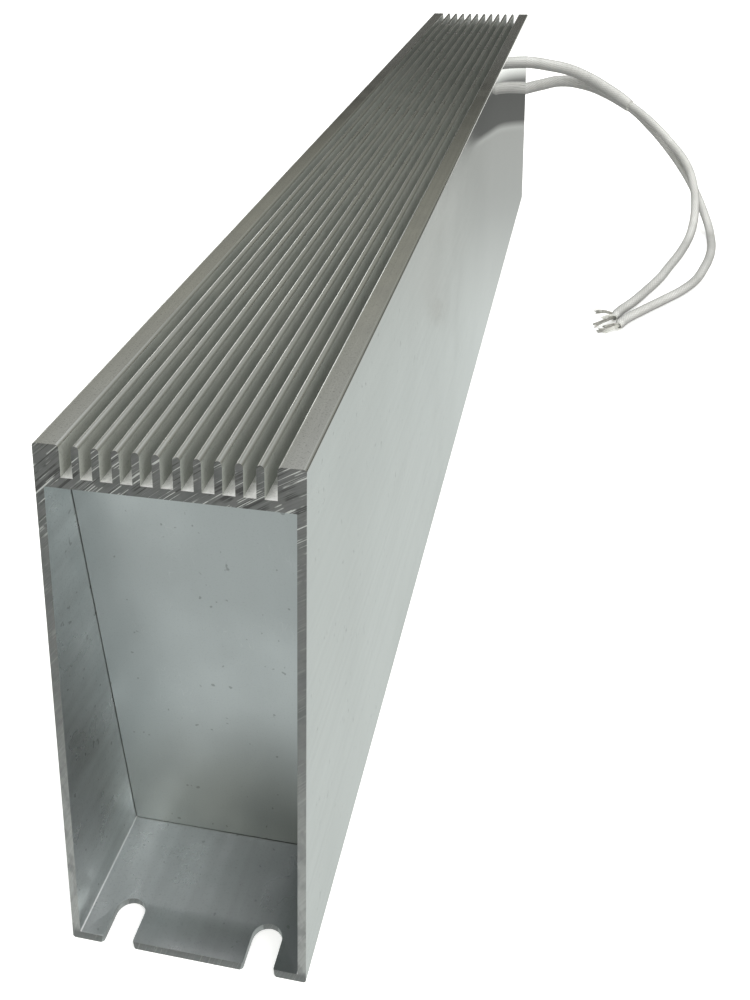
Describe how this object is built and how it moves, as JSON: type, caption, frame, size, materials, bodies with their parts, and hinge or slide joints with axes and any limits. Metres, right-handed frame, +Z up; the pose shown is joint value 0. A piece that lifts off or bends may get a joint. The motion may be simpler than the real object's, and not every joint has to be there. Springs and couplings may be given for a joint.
{
  "type": "aluminium housed power resistor",
  "caption": "Slant-ended extruded aluminium case with a grooved top, sealed wire-wound elements inside, open mounting slots in the base and flexible leads at the rear.",
  "frame": {"origin": "middle of the base, on the surface that the resistor stands on", "axes": "+Y along the case towards the end that the leads leave, +X to the right when looking along +Y, +Z up to the cooling grooves"},
  "size_m": [0.1561, 0.505, 0.107],
  "materials": {
    "case_aluminium": "mill-finish extrusion with fine drawing lines along its length, sawn ends",
    "plate_aluminium": "plain sheet, slightly blue-grey, with faint specks",
    "mica": "mica board",
    "ceramic": "unglazed ceramic",
    "resistance_wire": "oxidised resistance wire",
    "terminal_steel": "plain strip",
    "tinned_copper": "tinned",
    "quartz_sand": "compacted quartz sand",
    "sealing_compound": "cured sealing compound",
    "bushing_silicone": "moulded silicone",
    "lead_sleeve": "braided glass-fibre sleeve, off-white",
    "bare_strands": "loose tinned strands"
  },
  "bodies": {
    "root": {"housing": "case_aluminium", "end_plate_front": "plate_aluminium", "end_plate_rear": "plate_aluminium", "mica_base": "mica", "mica_top": "mica", "mica_left": "mica", "mica_right": "mica", "core_support_front": "mica", "core_support_rear": "mica", "core_upper": "ceramic", "core_lower": "ceramic", "winding_upper": "resistance_wire", "winding_lower": "resistance_wire", "band_upper_front": "terminal_steel", "band_upper_rear": "terminal_steel", "band_lower_front": "terminal_steel", "band_lower_rear": "terminal_steel", "series_link": "terminal_steel", "lug_upper": "terminal_steel", "lug_lower": "terminal_steel", "crimp_upper": "tinned_copper", "crimp_lower": "tinned_copper", "sand_fill": "quartz_sand", "potting_front": "sealing_compound", "potting_rear": "sealing_compound", "bushing_upper": "bushing_silicone", "bushing_lower": "bushing_silicone", "lead_upper": "lead_sleeve", "lead_lower": "lead_sleeve", "root_sleeve_upper": "lead_sleeve", "root_sleeve_lower": "lead_sleeve", "bare_end_upper": "bare_strands", "bare_end_lower": "bare_strands"}
  },
  "joints": []
}
